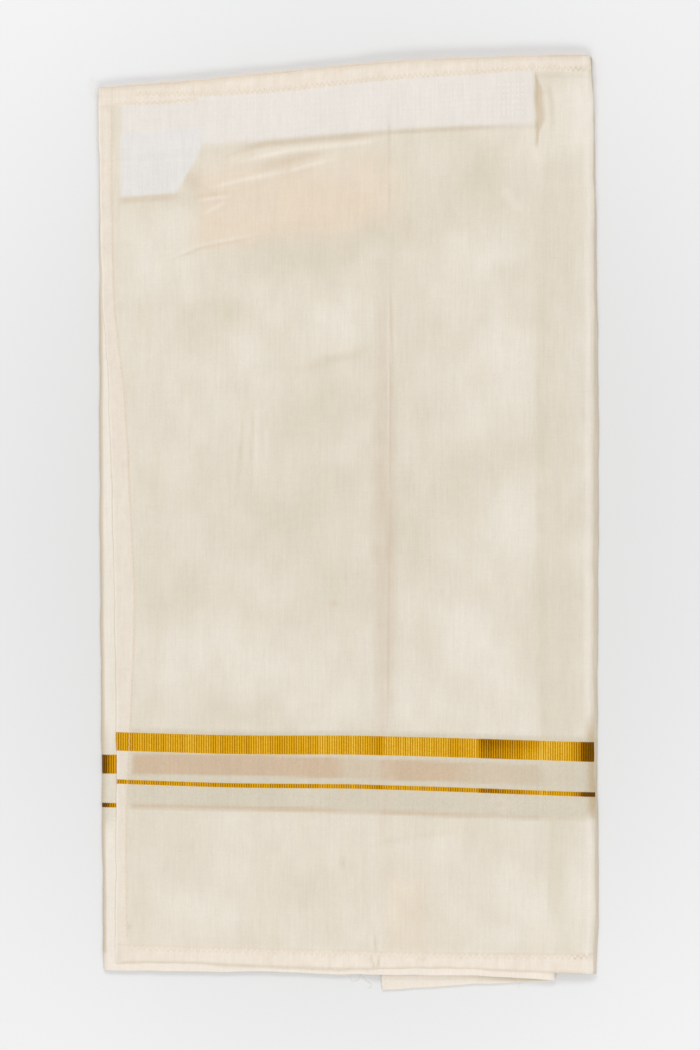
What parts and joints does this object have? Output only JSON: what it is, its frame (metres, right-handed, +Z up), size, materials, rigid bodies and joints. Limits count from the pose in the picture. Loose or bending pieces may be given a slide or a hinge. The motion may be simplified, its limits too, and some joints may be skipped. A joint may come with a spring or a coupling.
{
  "type": "folded dhoti cloth",
  "caption": "Child's ready-to-wear dhoti in sheer ivory silk-look cloth with woven gold bands, hook tape at the waist, folded into a flat rectangle",
  "frame": {"origin": "centre of the bounding box's base, on the surface that the folded cloth lies on", "axes": "+Y along the folds from the hem to the waist, +X across the folds towards the front layer's soft fold, +Z up from the table"},
  "size_m": [0.3059, 0.5706, 0.0071],
  "materials": {
    "ivory_silk": "soft satin sheen, sheer plain weave",
    "hook_tape": "matt woven nylon",
    "care_label": "white satin ribbon"
  },
  "bodies": {
    "root": {"front_layer": "ivory_silk", "front_waist_hem": "ivory_silk", "front_bottom_hem": "ivory_silk", "front_side_hem": "ivory_silk", "second_layer_side": "ivory_silk", "second_layer_hem": "ivory_silk", "inner_layer": "ivory_silk", "hidden_layers": "ivory_silk", "back_layer": "ivory_silk", "hook_tape": "hook_tape", "care_label": "care_label"}
  },
  "joints": []
}
